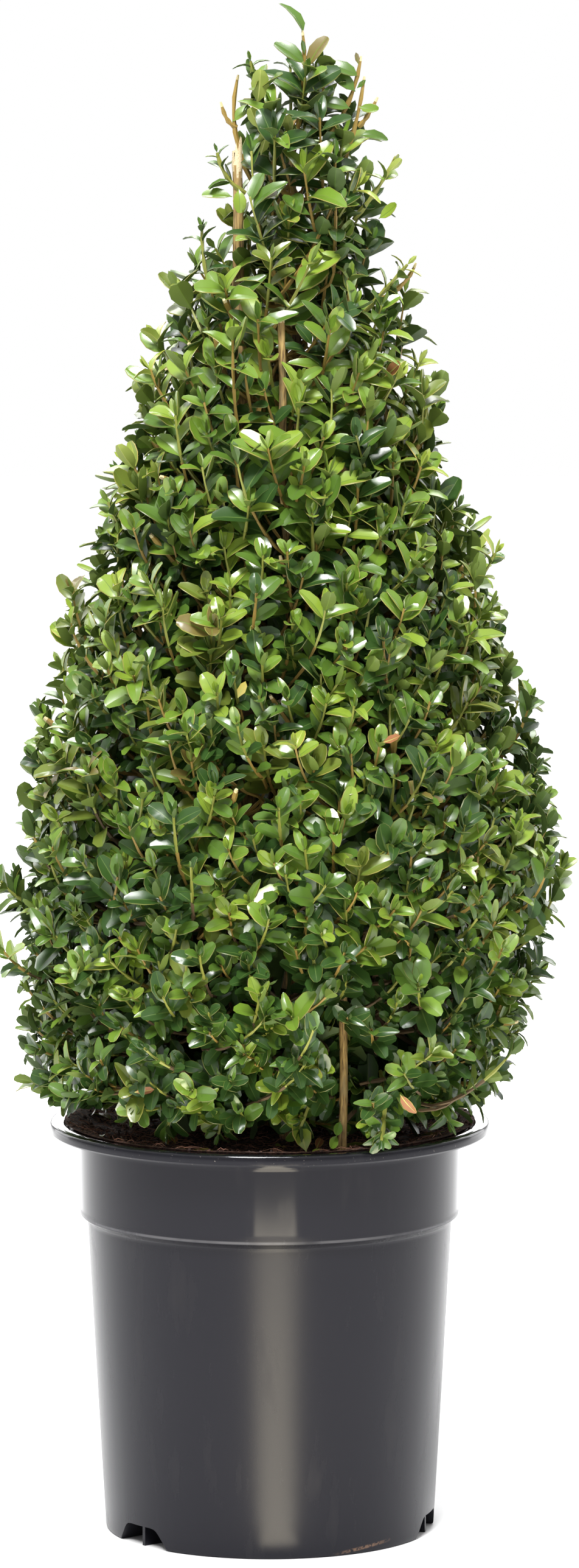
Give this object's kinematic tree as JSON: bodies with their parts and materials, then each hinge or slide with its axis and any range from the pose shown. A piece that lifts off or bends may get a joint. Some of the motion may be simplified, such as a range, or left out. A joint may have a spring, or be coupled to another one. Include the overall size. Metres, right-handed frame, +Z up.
{
  "type": "potted boxwood cone topiary",
  "caption": "Evergreen box shrub clipped to a tear-drop cone, with its stems, boughs and leafy masses, standing in a tapered black plastic nursery pot of compost.",
  "frame": {"origin": "centre of the pot's flat underside, on the pot's axis", "axes": "+Z up; -Y to the front, the side the picture shows; +X to the right seen from the front"},
  "size_m": [0.3401, 0.3375, 0.9188],
  "materials": {
    "pot": "satin",
    "soil": "matte",
    "bark": "matte",
    "foliage": "satin"
  },
  "bodies": {
    "root": {"pot": "pot", "soil": "soil", "stem_main": "bark", "stem_leader": "bark", "stem_right": "bark", "stem_front": "bark", "stem_left": "bark", "stem_back": "bark", "bough_belly_1": "bark", "bough_belly_2": "bark", "bough_belly_3": "bark", "bough_belly_4": "bark", "bough_belly_5": "bark", "bough_waist_1": "bark", "bough_waist_2": "bark", "bough_waist_3": "bark", "bough_waist_4": "bark", "foliage_belly_1": "foliage", "foliage_belly_2": "foliage", "foliage_belly_3": "foliage", "foliage_belly_4": "foliage", "foliage_belly_5": "foliage", "foliage_waist_1": "foliage", "foliage_waist_2": "foliage", "foliage_waist_3": "foliage", "foliage_waist_4": "foliage", "foliage_shoulder": "foliage", "foliage_tip": "foliage"}
  },
  "joints": []
}
